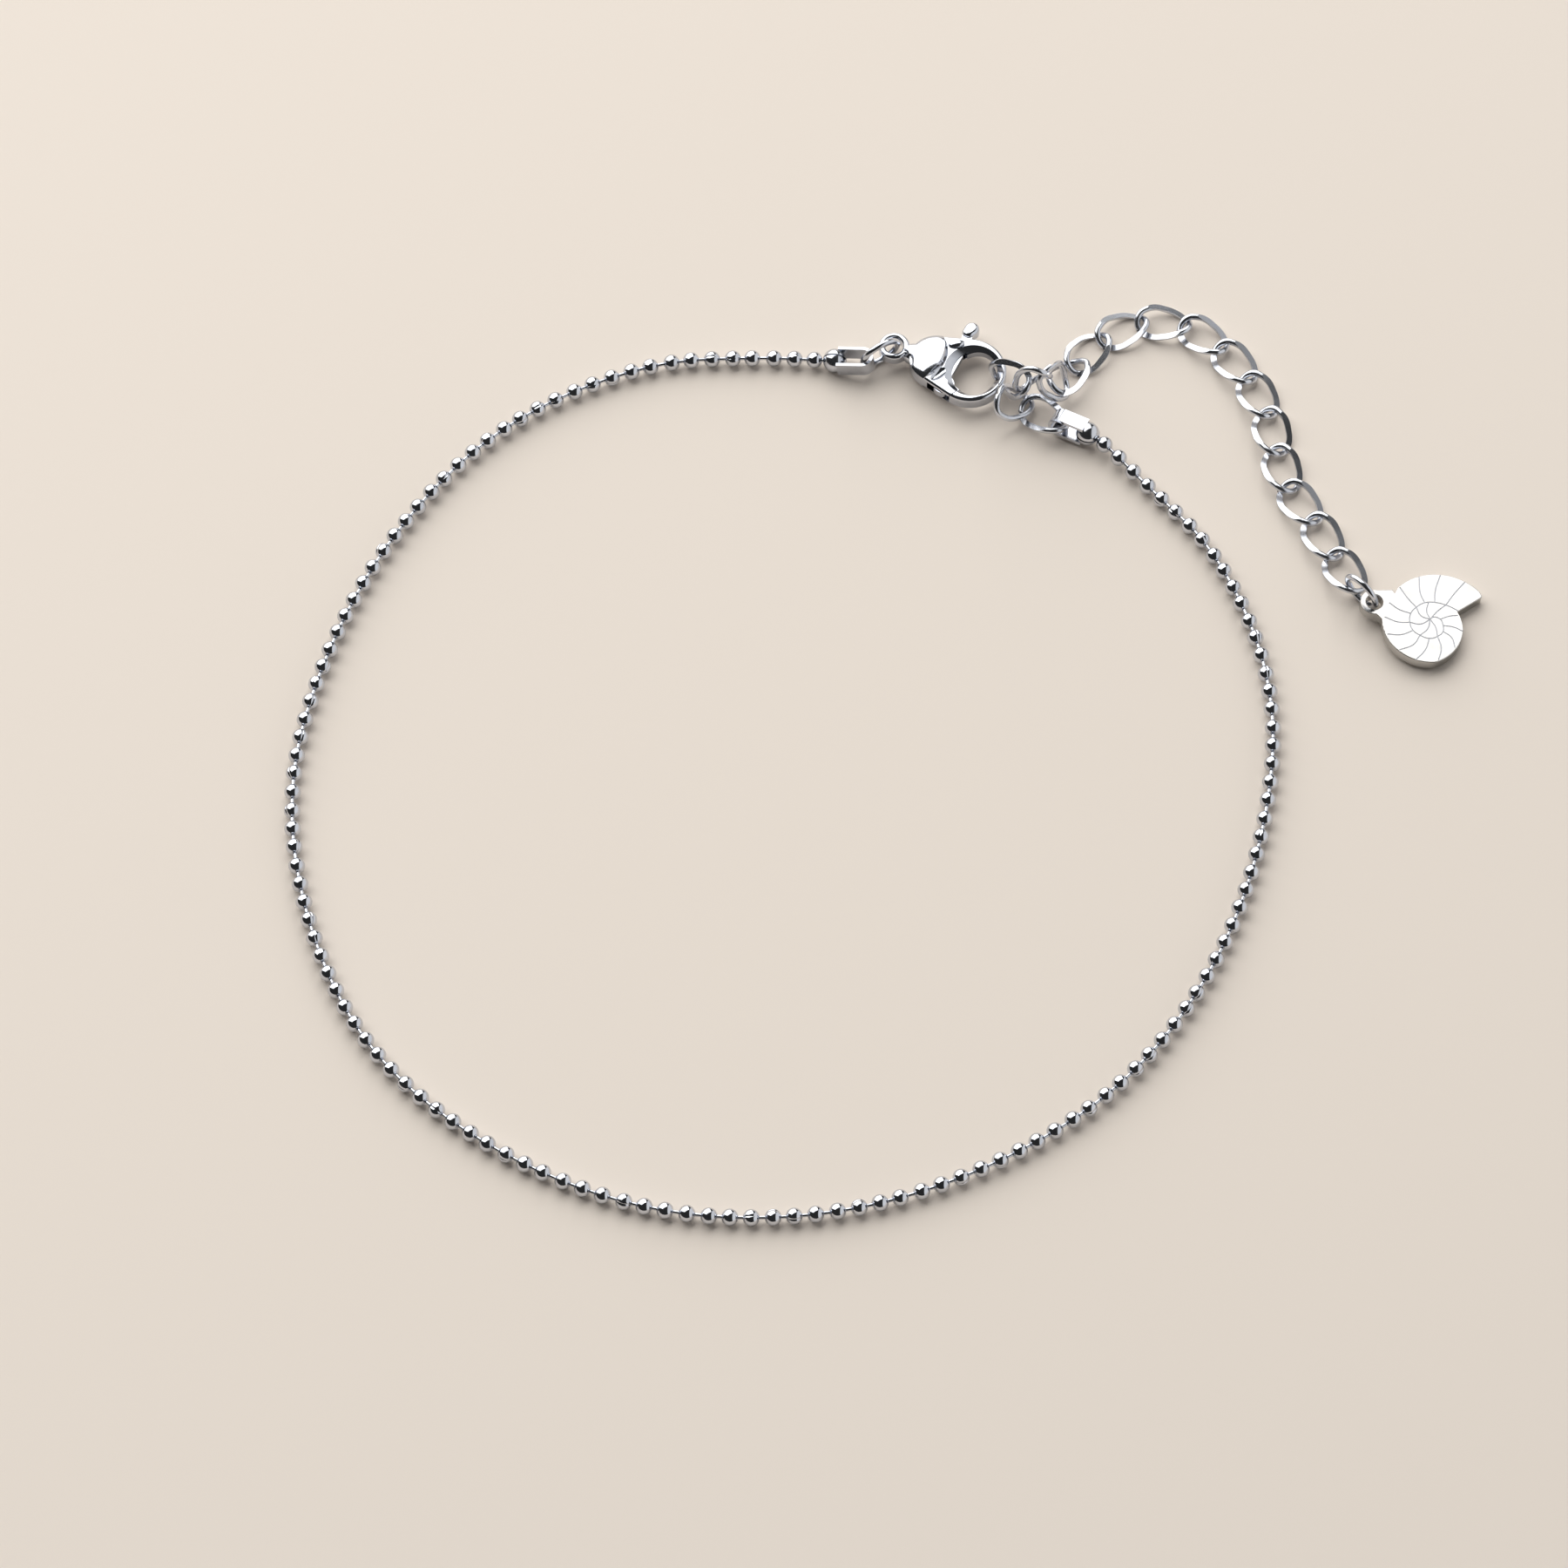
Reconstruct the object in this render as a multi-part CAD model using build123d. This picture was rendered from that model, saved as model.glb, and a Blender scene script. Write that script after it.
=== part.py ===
"""Chain anklet: a closed loop of ball chain, a lobster clasp, a curb extender chain and a flat shell charm.

Lengths are in millimetres and angles in degrees. The anklet lies on the plane Z = 0, +X is its longest
extent and +Z points up. Plan positions are measured from the middle of the chain's loop and are moved to the
part's origin, under the middle of its bounding box, when each solid is written.
"""

from math import cos, pi, radians, sin, sqrt, tan
import os

from build123d import *

os.makedirs("parts", exist_ok=True)

LOOP_CENTRE = (-8.0, -2.7)
GAP = 0.05

# Ball chain
BEAD_RADIUS = 0.6
NECK_RADIUS = 0.16
RUN_SHARE = 0.45
CHAIN_ROUTE = [
    (-1.8, 38.8), (-11.0, 38.4), (-22.5, 32.7), (-30.8, 22.9),
    (-36.1, 11.4), (-38.8, -0.9), (-36.7, -13.9), (-31.3, -25.0), (-21.1, -33.3),
    (-9.4, -38.0), (3.4, -38.2), (15.5, -34.2), (26.1, -27.0), (33.4, -16.6),
    (37.5, -4.4), (38.6, 8.2), (34.5, 20.4), (28.4, 27.2),
]

# End connectors: a strip folded like a hairpin, its two ends formed into a cup round the last bead
CUP_RADIUS = 0.95
MOUTH_REACH = CUP_RADIUS + 2 * GAP
STRIP = 0.25
STRIP_WIDTH = 1.35
FOLD_RADIUS = 0.9
FOLD_CENTRE = 2.3
CUP_SLIT = 0.14
MOUTH_RADIUS = 0.3
CONNECTORS = {
    "end_connector_clasp_side": {"at": (4.05, 38.32, 0.95), "heading": -7.1, "roll": 0, "pitch": 9},
    "end_connector_extender_side": {"at": (24.15, 31.35, 1.13), "heading": 153.8, "roll": -78, "pitch": 0},
}

# Lobster clasp, in its own axes: +X from the tail eye to the nose, +Y to the thumb tab's side
CLASP_AT = (8.81, 39.31, 1.2)
CLASP_HEADING = -20.5
EYE_OUTER = 1.25
EYE_HOLE = 0.72
EYE_HEIGHT = 1.05
EYE_ROUND = 0.26
SHOULDER_CENTRE = (1.95, 0)
SHOULDER_RADII = (1.35, 0.95, 0.85)
BULB_CENTRE = (3.6, -0.05)
BULB_RADIUS = 2.15
BULB_HEIGHT = 1.2
DOME_RADIUS = 2.45
DOME_END_CENTRE = (2.2, 0)
DOME_END_RADII = (2.35, 2.6, 1.9)
POCKET_CENTRE = (4.3, -1.4, 1.08)
POCKET_RADII = (1.15, 0.55, 0.58)
POCKET_HEADING = 62
KNUCKLE_CENTRE = (4.62, 1.75, 0.66)
KNUCKLE_RADII = (0.62, 0.36, 0.2)
GROOVE_CENTRE = (4.7, 1.7, 1.1)
GROOVE_RADII = (1.0, 0.62, 0.58)
KNUCKLE_HEADING = 27
RING_CENTRE = (6.45, -0.12)
RING_RADIUS = 2.95
OPENING_CENTRE = (6.98, -0.15)
OPENING_RADII = (1.68, 2.05)
BEVEL_FOOT = 0.3
BEVEL_CENTRE = (6.7, -0.15)
BEVEL_RADII = (2.4, 2.45)
COLLAR_HEIGHT = 0.68
COLLAR_ROUND = 0.3
PIVOT = (4.9, -1.95)
LOBE_RADIUS = 1.28
RIVET_RADIUS = 0.32
RIVET_FIT = 0.01
SLOT_HEIGHT = 0.4
SLOT_OUTLINE = [(4.05, -2.2), (5.75, -2.2), (5.75, 3.3), (2.75, 3.3), (2.95, 2.3)]

# Directions about the ring's centre: the hook's nose, the top of the recess inside it, and the gate's two ends
NOSE_ANGLE = -14.0
RECESS_ANGLE = 25.0
GATE_TIP_ANGLE = -6.0
GATE_ROOT_ANGLE = -115.0
GATE_REACH = 4.4
GATE_FIT = 0.06
LEVER_HEIGHT = 0.33
LEVER_HUB_RADIUS = 0.85

# Bars of the lever's flat arm: first centre and radius, second centre and radius
LEVER_BARS = [
    (PIVOT, 0.5, (6.7, -2.6), 0.3),
    ((4.75, -1.6), 0.42, (5.18, 2.3), 0.38),
    ((5.18, 2.3), 0.38, (5.12, 3.3), 0.42),
]
TAB_FOOT = (5.12, 3.3)
TAB_FOOT_RADIUS = 0.52
TAB_TIP = (5.26, 3.7)
TAB_TIP_RADIUS = 0.6
TAB_HEIGHT = 0.6
TAB_ROUND = 0.35

# Rings
RING_WIRE = 0.25
CLASP_RING = {"at": (7.69, 38.52, 1.79), "heading": 29.5, "lean": 9, "radius": 1.56}
CHARM_RING = {"at": (45.4, 16.39, 1.75), "heading": -45.5, "lean": 5, "radius": 1.5}

# Curb links of the extender chain, as centre lines of a round wire
LINK_WIRE = 0.25
LINK_LENGTH = 2.11
LINK_WIDTH = 1.33
LINK_TWIST = 0.34
FLAT_TILT = 7
FLAT_REACH = 0.11
LINK_RUNS = 8
CHAIN_PITCH = 3.55
CHAIN_HEIGHT = 0.62
EXTENDER_START = (23.1, 38.0)
EXTENDER_HEADINGS = [48, 27, -6, -38, -54, -66, -80, -77, -57, -66]

# The last link, lifted at its outer end by the charm's ring
LAST_LINK = {"at": (44.2, 18.76, 0.77), "heading": -62, "pitch": 4}

# The six slack links between the end connector and the stretched run
SLACK_COLUMNS = ("at", "heading", "roll", "pitch")
SLACK_LINKS = [
    ((20.65, 33.13, 0.92), -43.4, 1.6, 8.6),
    ((18.19, 34.06, 1.59), 219.1, -206.5, 37.7),
    ((18.01, 36.07, 1.81), -43.9, 61.2, 26.6),
    ((19.71, 35.00, 3.63), -55.9, -21.6, 71.4),
    ((21.60, 35.53, 2.45), -157.9, 131.9, 60.3),
    ((22.63, 36.83, 1.21), 57.5, -5.9, -17.8),
]

# Shell charm, in plan about the middle of its spiral
CHARM_AT = (50.68, 14.16, 0.31)
CHARM_TILT = 4.2
CHARM_THICKNESS = 0.9
CHARM_EYE = (-4.35, 1.42)
CHARM_EYE_OUTER = 1.12
CHARM_EYE_HOLE = 0.68
CHARM_ROUND = 0.06
LIP_TOP = (3.97, 2.76)
LIP_END = (4.25, 2.25)
LIP_ROOT = (2.2, 0.8)
LIP_ROUND = 0.25
CROWN = (0.95, 4.16)
NOTCH = (-2.46, 2.84)
EYE_FOOT = (-3.83, -0.08)
BELLY = (-2.55, -3.0)
KEEL = (0.23, -3.89)
HEEL = (2.05, -2.45)
HEEL_END = (2.6, -0.8)
THROAT = (2.5, 0.05)
EYE_TAB = [(-4.3, 2.5), (-2.9, 2.6), (-2.0, 1.0), EYE_FOOT, (-4.3, 0.35)]


def placed(at, heading, roll=0, pitch=0):
    """Location at a centre, turned to a heading in plan, then pitched and rolled about its own axes."""
    turn = Location((0, 0, 0), (0, 0, heading))
    tip = Location((0, 0, 0), (0, -pitch, 0))
    spin = Location((0, 0, 0), (roll, 0, 0))
    return Location(at) * turn * tip * spin


def write(name, solid):
    """Write one piece, moved from the loop's middle to the part's origin."""
    moved = Location((LOOP_CENTRE[0], LOOP_CENTRE[1], 0)) * solid
    export_step(moved, f"parts/{name}.step")


def arc_radius(before, corner, after):
    """Largest arc that keeps to RUN_SHARE of the shorter run on either side of a corner."""
    run_in = corner - before
    run_out = after - corner
    half_turn = radians(run_in.get_angle(run_out)) / 2
    return RUN_SHARE * min(run_in.length, run_out.length) / tan(half_turn)


def rounded_path(points, close=False):
    """Straight runs through the points, joined by tangent arcs, and the arcs' radii."""
    corners = [Vector(*point) for point in points]
    count = len(corners)
    inner = range(count) if close else range(1, count - 1)
    radii = [arc_radius(corners[i - 1], corners[i], corners[(i + 1) % count]) for i in inner]
    return FilletPolyline(*corners, radius=radii, close=close), radii


def wire_along(path, radius):
    """Round wire swept along a path."""
    start = Plane(origin=path @ 0, z_dir=path % 0)
    return sweep(start * Circle(radius), path=path)


def bead_chain():
    """The ball chain as one tube between the connectors, with a neck and the captive bead at each end."""
    route = [Vector(x, y, BEAD_RADIUS) for x, y in CHAIN_ROUTE]
    cups = [Vector(*place["at"]) for place in CONNECTORS.values()]
    mouths = [(placed(**place) * Pos(-MOUTH_REACH, 0)).position for place in CONNECTORS.values()]
    path, radii = rounded_path([mouths[0], *route, mouths[1]])
    print("chain length", round(path.length, 1), "radii", [round(r, 1) for r in radii])
    tube = wire_along(path, BEAD_RADIUS)
    section = pi * BEAD_RADIUS**2
    print("tube volume", round(tube.volume, 2), "section x length", round(section * path.length, 2))
    chain = tube
    for cup, mouth in zip(cups, mouths):
        neck = Plane(origin=cup, z_dir=mouth - cup) * extrude(Circle(NECK_RADIUS), MOUTH_REACH + BEAD_RADIUS)
        chain = chain + neck + Location(cup) * Sphere(BEAD_RADIUS)
    return chain


def connector(at, heading, roll, pitch):
    """Hairpin strip: the fold holds a ring or link, and the cup holds the chain's last bead."""
    wall_y = FOLD_RADIUS - STRIP / 2
    wall_start = sqrt((CUP_RADIUS - STRIP / 2) ** 2 - wall_y**2)
    strip = Pos(FOLD_CENTRE, 0) * (Circle(FOLD_RADIUS) - Circle(FOLD_RADIUS - STRIP))
    strip = strip - Pos(FOLD_CENTRE - FOLD_RADIUS, 0) * Rectangle(2 * FOLD_RADIUS, 4 * FOLD_RADIUS)
    wall = Rectangle(FOLD_CENTRE - wall_start, STRIP, align=(Align.MIN, Align.CENTER))
    strip = strip + Pos(wall_start, wall_y) * wall + Pos(wall_start, -wall_y) * wall
    folded = extrude(strip, STRIP_WIDTH / 2, both=True)
    cup = Sphere(CUP_RADIUS) - Sphere(BEAD_RADIUS + GAP)
    slit = Box(2 * CUP_RADIUS, CUP_SLIT, 2.2 * CUP_RADIUS)
    mouth = Rot(0, -90, 0) * Cylinder(MOUTH_RADIUS, 2 * CUP_RADIUS, align=(Align.CENTER, Align.CENTER, Align.MIN))
    cup = cup - slit - mouth
    inside = Sphere(BEAD_RADIUS + GAP)
    return placed(at, heading, roll, pitch) * (folded - inside + cup)


def disc(centre, radius):
    """Circle at a place in plan."""
    return Pos(*centre) * Circle(radius)


def slab(face, half_height):
    """Extrude a plan shape equally up and down."""
    return extrude(face, half_height, both=True)


def between(first, first_radius, second, second_radius):
    """Plan bar with two round ends."""
    return make_hull((disc(first, first_radius) + disc(second, second_radius)).edges())


def egg(centre, radii):
    """Ellipsoid at a place in plan."""
    return Pos(*centre) * scale(Sphere(1), by=radii)


def drop_plan():
    """The clasp's outline in plan: a teardrop round the bulb and the ring."""
    return between(BULB_CENTRE, BULB_RADIUS, RING_CENTRE, RING_RADIUS)


def clasp_outline():
    """The clasp's collar in plan: the teardrop with the ring's opening cut out."""
    return drop_plan() - Pos(*OPENING_CENTRE) * Ellipse(*OPENING_RADII)


def bevel():
    """Waste of the slope that runs round the opening, on the upper and the lower face."""
    low = Pos(*OPENING_CENTRE, BEVEL_FOOT) * Ellipse(*OPENING_RADII)
    high = Pos(*BEVEL_CENTRE, COLLAR_HEIGHT + GAP) * Ellipse(*BEVEL_RADII)
    upper = loft([low, high])
    return upper + mirror(upper, Plane.XY)


def sector(start):
    """Plan wedge about the ring's centre, from a direction down to the gate's root."""
    far = 2 * RING_RADIUS
    first = radians(start)
    root = radians(GATE_ROOT_ANGLE)
    corners = [
        RING_CENTRE,
        (RING_CENTRE[0] + far * cos(first), RING_CENTRE[1] + far * sin(first)),
        (RING_CENTRE[0] + far, RING_CENTRE[1] - far),
        (RING_CENTRE[0] + far * cos(root), RING_CENTRE[1] + far * sin(root)),
    ]
    return make_face(Polyline(*corners, close=True))


def gate_space():
    """Plan of what the body leaves for the gate: its place, and the recess its tip swings through."""
    recess = sector(RECESS_ANGLE) & disc(PIVOT, GATE_REACH)
    return sector(NOSE_ANGLE) + recess - disc(PIVOT, LOBE_RADIUS)


def gate_plan():
    """Plan of the gate, whose tip is an arc about the pivot, so that it swings in past the nose."""
    reach = disc(PIVOT, GATE_REACH - GATE_FIT)
    return (sector(GATE_TIP_ANGLE) & reach) - disc(PIVOT, LOBE_RADIUS + GATE_FIT)


def clasp_body():
    """Cast body: tail eye, domed bulb, collar with the rigid hook, and the slot for the lever."""
    collar = slab(clasp_outline(), COLLAR_HEIGHT)
    collar = fillet(collar.faces().filter_by(Axis.Z).edges(), COLLAR_ROUND)
    body = collar - slab(gate_space(), 2 * COLLAR_HEIGHT)
    dome = egg(BULB_CENTRE, (DOME_RADIUS, DOME_RADIUS, BULB_HEIGHT))
    dome = dome & egg(DOME_END_CENTRE, DOME_END_RADII)
    dome = dome & slab(drop_plan(), 2 * BULB_HEIGHT)
    hole = slab(disc((0, 0), EYE_HOLE), BULB_HEIGHT)
    eye = slab(disc((0, 0), EYE_OUTER) - disc((0, 0), EYE_HOLE), EYE_HEIGHT / 2)
    eye = fillet(eye.edges().filter_by(GeomType.CIRCLE), EYE_ROUND)
    shoulder = egg(SHOULDER_CENTRE, SHOULDER_RADII) - hole
    body = body + dome + shoulder + eye
    body = body - bevel()
    body = body - placed(POCKET_CENTRE, POCKET_HEADING) * scale(Sphere(1), by=POCKET_RADII)
    body = body - placed(GROOVE_CENTRE, KNUCKLE_HEADING) * scale(Sphere(1), by=GROOVE_RADII)
    body = body + placed(KNUCKLE_CENTRE, KNUCKLE_HEADING) * scale(Sphere(1), by=KNUCKLE_RADII)
    slot = make_face(Polyline(*SLOT_OUTLINE, close=True))
    body = body - slab(slot + disc(PIVOT, LOBE_RADIUS + GAP), SLOT_HEIGHT)
    return body - slab(disc(PIVOT, RIVET_RADIUS + RIVET_FIT), 2 * COLLAR_HEIGHT)


def clasp_lever():
    """See-saw lever: the gate that closes the ring, its arm through the slot and the thumb tab."""
    ring = slab(clasp_outline(), COLLAR_HEIGHT)
    ring = fillet(ring.faces().filter_by(Axis.Z).edges(), COLLAR_ROUND)
    gate = ring & slab(gate_plan(), 2 * COLLAR_HEIGHT)
    gate = gate - bevel()
    arm = disc(PIVOT, LEVER_HUB_RADIUS)
    for bar in LEVER_BARS:
        arm = arm + between(*bar)
    plate = slab(arm, LEVER_HEIGHT)
    tab = slab(between(TAB_FOOT, TAB_FOOT_RADIUS, TAB_TIP, TAB_TIP_RADIUS), TAB_HEIGHT)
    tab = fillet(tab.edges(), TAB_ROUND)
    lever = gate + plate + tab
    return lever - slab(disc(PIVOT, RIVET_RADIUS + GAP), 2 * COLLAR_HEIGHT)


def wire_ring(at, heading, lean, radius):
    """Round jump ring that stands on its edge along a heading and leans to one side."""
    ring = Rot(90, 0, 0) * Torus(radius, RING_WIRE)
    return placed(at, heading, roll=lean) * ring


def curb_link():
    """One twisted oval link along X, with a flat ground on each long side."""
    turn = 2 * pi / LINK_RUNS
    reach = 1 / cos(turn / 2)
    points = []
    for step in range(LINK_RUNS):
        angle = turn * (step + 0.5)
        side = -1 if (step // 2) % 2 == 0 else 1
        points.append((LINK_LENGTH * reach * cos(angle), LINK_WIDTH * reach * sin(angle), side * LINK_TWIST))
    path, _ = rounded_path(points, close=True)
    edges = path.edges()
    half = wire_along(Wire(edges[: len(edges) // 2]), LINK_WIRE)
    slope = Vector(LINK_LENGTH, 0, 2 * LINK_TWIST).normalized()
    upright = Vector(-slope.Z, 0, slope.X)
    normal = upright * cos(radians(FLAT_TILT)) - Vector(0, 1, 0) * sin(radians(FLAT_TILT))
    ground = Plane(origin=(0, -LINK_WIDTH, 0), x_dir=slope, z_dir=normal)
    waste = Box(2 * LINK_LENGTH, LINK_WIDTH, LINK_WIDTH, align=(Align.CENTER, Align.CENTER, Align.MIN))
    waste = ground * Pos(0, 0, FLAT_REACH) * waste
    half = half - waste - Rot(0, 0, 180) * waste
    return half + Rot(0, 0, 180) * half


def extender_places():
    """Places of the links: the slack ones by the clasp, a walk along the stretched ones, then the last one."""
    places = [dict(zip(SLACK_COLUMNS, row)) for row in SLACK_LINKS]
    joint = Vector(*EXTENDER_START, CHAIN_HEIGHT)
    for heading in EXTENDER_HEADINGS:
        step = Vector(CHAIN_PITCH, 0, 0).rotate(Axis.Z, heading)
        places.append({"at": tuple(joint + step / 2), "heading": heading})
        joint = joint + step
    return [*places, LAST_LINK]


def shell_charm():
    """Flat nautilus plate with its eye, in plan about the middle of the spiral, raised at the eye's end."""
    whorl = [
        ThreePointArc(LIP_TOP, CROWN, NOTCH),
        Line(NOTCH, EYE_FOOT),
        ThreePointArc(EYE_FOOT, BELLY, KEEL),
        ThreePointArc(KEEL, HEEL, HEEL_END),
        ThreePointArc(HEEL_END, THROAT, LIP_ROOT),
        Line(LIP_ROOT, LIP_END),
        Line(LIP_END, LIP_TOP),
    ]
    plate = make_face(Wire(whorl))
    lip = plate.vertices().sort_by(Axis.X)[-2:]
    plate = fillet(lip, LIP_ROUND)
    plate = plate + make_face(Polyline(*EYE_TAB, close=True))
    plate = plate + disc(CHARM_EYE, CHARM_EYE_OUTER) - disc(CHARM_EYE, CHARM_EYE_HOLE)
    solid = extrude(plate, CHARM_THICKNESS)
    solid = fillet(solid.faces().sort_by(Axis.Z)[-1].edges(), CHARM_ROUND)
    return placed(CHARM_AT, 0) * Rot(0, CHARM_TILT, 0) * solid


if __name__ == "__main__":
    write("bead_chain", bead_chain())
    for name, place in CONNECTORS.items():
        write(name, connector(**place))
    clasp_place = placed(CLASP_AT, CLASP_HEADING)
    write("clasp_body", clasp_place * clasp_body())
    write("clasp_lever", clasp_place * clasp_lever())
    write("clasp_rivet", clasp_place * (Pos(*PIVOT) * Cylinder(RIVET_RADIUS, 2 * COLLAR_HEIGHT)))
    link = curb_link()
    for number, place in enumerate(extender_places(), 1):
        write(f"extender_link_{number:02}", placed(**place) * link)
    write("clasp_jump_ring", wire_ring(**CLASP_RING))
    write("charm_ring", wire_ring(**CHARM_RING))
    write("shell_charm", shell_charm())
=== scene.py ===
"""Looks of the chain anklet: ball chain, lobster clasp, curb extender chain and engraved shell charm.

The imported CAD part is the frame. The ball chain and the charm are remade here in full detail, and the other
pieces keep their CAD shape. The pieces' lengths are in millimetres and the studio's in metres, and every
mesh is built in metres.
"""

from __future__ import annotations

import logging
import math
from dataclasses import dataclass, field
from enum import Enum
from typing import Iterable, Sequence, Union

import bmesh
import bpy
from mathutils import Matrix, Vector

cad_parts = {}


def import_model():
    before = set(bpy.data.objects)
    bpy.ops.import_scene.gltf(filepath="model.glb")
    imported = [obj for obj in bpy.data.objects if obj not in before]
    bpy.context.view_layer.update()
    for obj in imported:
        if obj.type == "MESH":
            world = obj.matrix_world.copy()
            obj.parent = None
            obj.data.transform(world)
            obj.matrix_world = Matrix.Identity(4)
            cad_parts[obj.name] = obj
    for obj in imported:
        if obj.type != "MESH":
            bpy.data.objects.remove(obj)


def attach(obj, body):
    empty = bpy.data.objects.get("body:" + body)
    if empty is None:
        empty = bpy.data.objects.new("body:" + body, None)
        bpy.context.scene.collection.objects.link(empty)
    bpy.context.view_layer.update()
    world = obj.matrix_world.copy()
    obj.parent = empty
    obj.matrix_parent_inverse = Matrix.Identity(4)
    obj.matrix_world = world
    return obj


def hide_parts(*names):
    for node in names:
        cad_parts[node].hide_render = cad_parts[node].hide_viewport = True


logging.basicConfig(level=logging.INFO, format="%(message)s")
LOG = logging.getLogger("anklet")

MM = 0.001
LOOP_CENTRE = Vector((-8.0, -2.7, 0.0))

Number = Union[float, int]
Point = tuple[float, float, float]
Colour = tuple[float, float, float]
PlanLine = Sequence[tuple[float, float]]


class Body(Enum):
    """Moving group that the remade pieces ride on."""

    ANKLET = "anklet"


class Slot(Enum):
    """Material slots in the part's record, named for the remade pieces."""

    BALL_CHAIN = "ball_chain_steel"
    CHARM = "charm_steel"


def metres(point: Sequence[float]) -> Vector:
    """Place in the part's frame, in metres, of a point given in millimetres about the loop's middle."""
    return (Vector(point) + LOOP_CENTRE) * MM


class Term:
    """One number socket, with the arithmetic that node maths is written in."""

    def __init__(self, graph: Graph, socket: bpy.types.NodeSocket) -> None:
        """Wrap a socket.

        Args:
            graph: The tree builder that the socket belongs to.
            socket: The output socket.
        """
        self.graph = graph
        self.socket = socket

    def _math(self, operation: str, *values: Union[Term, Number]) -> Term:
        """Result of one Math node on these values."""
        node = self.graph.node("ShaderNodeMath", {"operation": operation}, dict(enumerate(values)))
        return Term(self.graph, node.outputs[0])

    def __add__(self, other: Union[Term, Number]) -> Term:
        """Sum."""
        return self._math("ADD", self, other)

    __radd__ = __add__

    def __mul__(self, other: Union[Term, Number]) -> Term:
        """Product."""
        return self._math("MULTIPLY", self, other)

    __rmul__ = __mul__

    def __truediv__(self, other: Union[Term, Number]) -> Term:
        """Quotient."""
        return self._math("DIVIDE", self, other)

    def rounded(self) -> Term:
        """Nearest whole number."""
        return self._math("ROUND", self)

    def step(self, low: Number, high: Number) -> Term:
        """Smooth rise from 0 to 1.

        Args:
            low: Where it leaves 0.
            high: Where it reaches 1.

        Returns:
            The risen value.
        """
        settings = {"interpolation_type": "SMOOTHSTEP"}
        node = self.graph.node("ShaderNodeMapRange", settings, {0: self, 1: low, 2: high, 3: 0.0, 4: 1.0})
        return Term(self.graph, node.outputs[0])


Feed = Union[Term, bpy.types.NodeSocket, Number, Sequence[float], str, bool]


class Graph:
    """Builds one node tree."""

    def __init__(self, tree: bpy.types.NodeTree) -> None:
        """Start on a tree, emptied of its nodes.

        Args:
            tree: The tree to build.
        """
        self.tree = tree
        tree.nodes.clear()

    def node(
        self,
        kind: str,
        settings: dict[str, object] | None = None,
        inputs: dict[Union[int, str], Feed] | None = None,
    ) -> bpy.types.Node:
        """Add a node.

        Args:
            kind: The node's type.
            settings: Its settings, which are made first.
            inputs: Values or links for its sockets, by name or number.

        Returns:
            The node.
        """
        made = self.tree.nodes.new(kind)
        for name, value in (settings or {}).items():
            setattr(made, name, value)
        for name, value in (inputs or {}).items():
            self.feed(made.inputs[name], value)
        return made

    def feed(self, socket: bpy.types.NodeSocket, value: Feed) -> None:
        """Give a socket a link or a plain value.

        Args:
            socket: The input socket.
            value: What it gets.
        """
        source = value.socket if isinstance(value, Term) else value
        if isinstance(source, bpy.types.NodeSocket):
            self.tree.links.new(source, socket)
        else:
            socket.default_value = source

    def term(self, node: bpy.types.Node, output: Union[int, str] = 0) -> Term:
        """A node's output as a term."""
        return Term(self, node.outputs[output])

    def compare(self, operation: str, first: Feed, second: Feed) -> bpy.types.NodeSocket:
        """Test of two numbers.

        Args:
            operation: The Compare node's operation.
            first: The first number.
            second: The second number.

        Returns:
            The socket that says whether it holds.
        """
        settings = {"data_type": "FLOAT", "operation": operation}
        return self.node("FunctionNodeCompare", settings, {0: first, 1: second}).outputs[0]

    def draw(self, low: Number, high: Number, seed: Feed) -> bpy.types.NodeSocket:
        """Random number for each element.

        Args:
            low: The lowest number.
            high: The highest number.
            seed: The draw's seed.

        Returns:
            The number's socket.
        """
        limits = {2: low, 3: high, "Seed": seed}
        return self.node("FunctionNodeRandomValue", {"data_type": "FLOAT"}, limits).outputs[1]

    def blend(self, share: Term, first: Sequence[float], second: Sequence[float]) -> Term:
        """Colour between two colours.

        Args:
            share: 0 for the first colour, 1 for the second.
            first: The first colour, red, green and blue.
            second: The second colour.

        Returns:
            The mixed colour.
        """
        colours = {0: share, 6: (*first, 1.0), 7: (*second, 1.0)}
        return self.term(self.node("ShaderNodeMix", {"data_type": "RGBA"}, colours), 2)


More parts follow.
